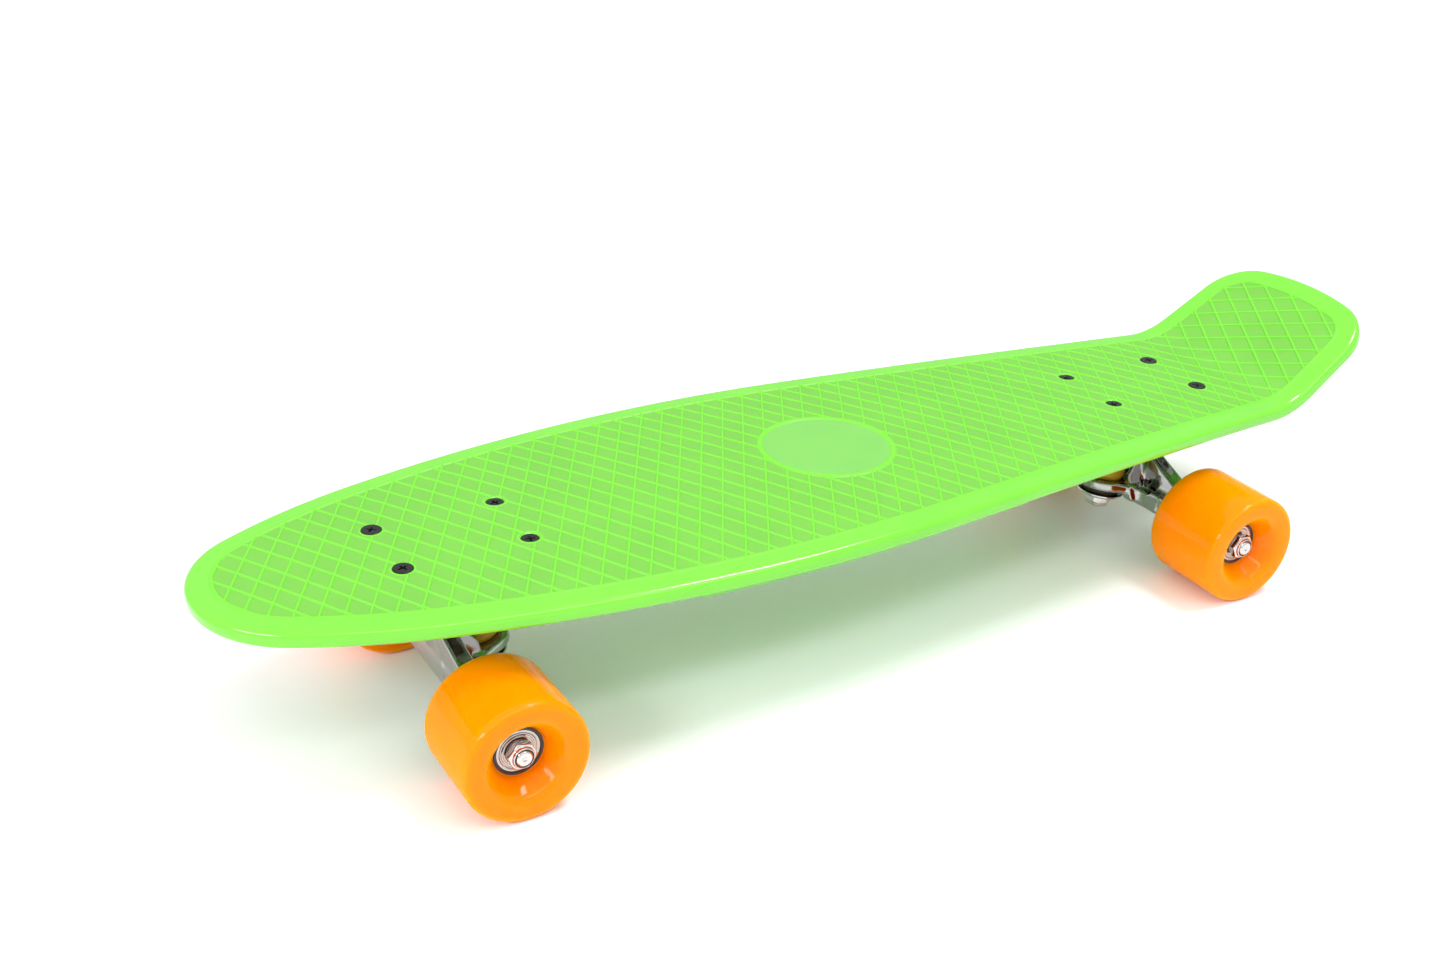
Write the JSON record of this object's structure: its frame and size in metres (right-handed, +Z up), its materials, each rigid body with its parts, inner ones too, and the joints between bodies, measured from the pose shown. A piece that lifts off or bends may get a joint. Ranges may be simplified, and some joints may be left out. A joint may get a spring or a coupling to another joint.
{
  "type": "skateboard",
  "caption": "Moulded plastic cruiser skateboard with a kicktail deck, turning trucks, sprung bushings and soft wheels on ball bearings.",
  "frame": {"origin": "on the floor under the middle of the board's box", "axes": "+X towards the nose, +Y towards the rider's left side when facing the nose, +Z up"},
  "size_m": [0.688, 0.2086, 0.1357],
  "materials": {
    "deck_plastic": "bright green moulded plastic, glossy rim and satin textured top",
    "black_bolt": "black oxide",
    "zinc_steel": "bright zinc plate",
    "cast_truck": "polished cast aluminium",
    "pivot_plastic": "black",
    "amber_bushing": "dark amber urethane",
    "dark_bushing": "dark urethane",
    "chrome_nut": "bright plated",
    "bearing_steel": "ground steel",
    "shield_chrome": "bright pressed steel",
    "core_plastic": "black hub core",
    "cage_plastic": "natural nylon",
    "wheel_urethane": "translucent orange urethane, satin"
  },
  "bodies": {
    "board": {"deck": "deck_plastic", "deck_bolts": "black_bolt", "deck_bolt_nuts": "zinc_steel", "nose_baseplate": "cast_truck", "nose_pivot_cup": "pivot_plastic", "nose_kingpin": "zinc_steel", "nose_kingpin_nut": "zinc_steel", "nose_upper_washer": "zinc_steel", "nose_lower_washer": "zinc_steel", "nose_upper_bushing": "amber_bushing", "nose_lower_bushing": "dark_bushing", "tail_baseplate": "cast_truck", "tail_pivot_cup": "pivot_plastic", "tail_kingpin": "zinc_steel", "tail_kingpin_nut": "zinc_steel", "tail_upper_washer": "zinc_steel", "tail_lower_washer": "zinc_steel", "tail_upper_bushing": "amber_bushing", "tail_lower_bushing": "dark_bushing"},
    "nose_hanger_body": {"nose_hanger": "cast_truck", "nose_axle": "zinc_steel", "nose_axle_nuts": "chrome_nut", "nose_speed_washers": "zinc_steel", "nose_bearing_spacers": "zinc_steel", "nose_inner_races": "bearing_steel"},
    "tail_hanger_body": {"tail_hanger": "cast_truck", "tail_axle": "zinc_steel", "tail_axle_nuts": "chrome_nut", "tail_speed_washers": "zinc_steel", "tail_bearing_spacers": "zinc_steel", "tail_inner_races": "bearing_steel"},
    "nose_left_wheel": {"nose_left_tyre": "wheel_urethane", "nose_left_core": "core_plastic", "nose_left_outer_races": "bearing_steel", "nose_left_bearing_shields": "shield_chrome"},
    "nose_left_ball_sets": {"nose_left_bearing_balls": "bearing_steel", "nose_left_bearing_cages": "cage_plastic"},
    "nose_right_wheel": {"nose_right_tyre": "wheel_urethane", "nose_right_core": "core_plastic", "nose_right_outer_races": "bearing_steel", "nose_right_bearing_shields": "shield_chrome"},
    "nose_right_ball_sets": {"nose_right_bearing_balls": "bearing_steel", "nose_right_bearing_cages": "cage_plastic"},
    "tail_left_wheel": {"tail_left_tyre": "wheel_urethane", "tail_left_core": "core_plastic", "tail_left_outer_races": "bearing_steel", "tail_left_bearing_shields": "shield_chrome"},
    "tail_left_ball_sets": {"tail_left_bearing_balls": "bearing_steel", "tail_left_bearing_cages": "cage_plastic"},
    "tail_right_wheel": {"tail_right_tyre": "wheel_urethane", "tail_right_core": "core_plastic", "tail_right_outer_races": "bearing_steel", "tail_right_bearing_shields": "shield_chrome"},
    "tail_right_ball_sets": {"tail_right_bearing_balls": "bearing_steel", "tail_right_bearing_cages": "cage_plastic"}
  },
  "joints": [
    {"name": "nose_steer", "type": "hinge", "parent": "board", "child": "nose_hanger_body", "pos_m": [0.24631, 0, 0.0696], "axis": [0.7463, 0, 0.6656], "range_deg": [-15, 15], "stiffness_Nm_per_rad": 40, "deforming": ["nose_upper_bushing", "nose_lower_bushing"]},
    {"name": "tail_steer", "type": "hinge", "parent": "board", "child": "tail_hanger_body", "pos_m": [-0.23229, 0, 0.0696], "axis": [-0.7463, 0, 0.6656], "range_deg": [-15, 15], "stiffness_Nm_per_rad": 40, "deforming": ["tail_upper_bushing", "tail_lower_bushing"]},
    {"name": "nose_left_spin", "type": "hinge", "parent": "nose_hanger_body", "child": "nose_left_wheel", "pos_m": [0.22671, 0.08, 0.0312], "axis": [0, 1, 0], "continuous": true},
    {"name": "nose_right_spin", "type": "hinge", "parent": "nose_hanger_body", "child": "nose_right_wheel", "pos_m": [0.22671, -0.08, 0.0312], "axis": [0, 1, 0], "continuous": true},
    {"name": "tail_left_spin", "type": "hinge", "parent": "tail_hanger_body", "child": "tail_left_wheel", "pos_m": [-0.21269, 0.08, 0.0312], "axis": [0, 1, 0], "continuous": true},
    {"name": "tail_right_spin", "type": "hinge", "parent": "tail_hanger_body", "child": "tail_right_wheel", "pos_m": [-0.21269, -0.08, 0.0312], "axis": [0, 1, 0], "continuous": true},
    {"name": "nose_left_balls", "type": "hinge", "parent": "nose_hanger_body", "child": "nose_left_ball_sets", "pos_m": [0.22671, 0.08, 0.0312], "axis": [0, 1, 0], "continuous": true},
    {"name": "nose_right_balls", "type": "hinge", "parent": "nose_hanger_body", "child": "nose_right_ball_sets", "pos_m": [0.22671, -0.08, 0.0312], "axis": [0, 1, 0], "continuous": true},
    {"name": "tail_left_balls", "type": "hinge", "parent": "tail_hanger_body", "child": "tail_left_ball_sets", "pos_m": [-0.21269, 0.08, 0.0312], "axis": [0, 1, 0], "continuous": true},
    {"name": "tail_right_balls", "type": "hinge", "parent": "tail_hanger_body", "child": "tail_right_ball_sets", "pos_m": [-0.21269, -0.08, 0.0312], "axis": [0, 1, 0], "continuous": true}
  ],
  "couplings": [
    {"joint": "nose_left_balls", "follows": "nose_left_spin", "ratio": 0.632},
    {"joint": "nose_right_balls", "follows": "nose_right_spin", "ratio": 0.632},
    {"joint": "tail_left_balls", "follows": "tail_left_spin", "ratio": 0.632},
    {"joint": "tail_right_balls", "follows": "tail_right_spin", "ratio": 0.632}
  ]
}
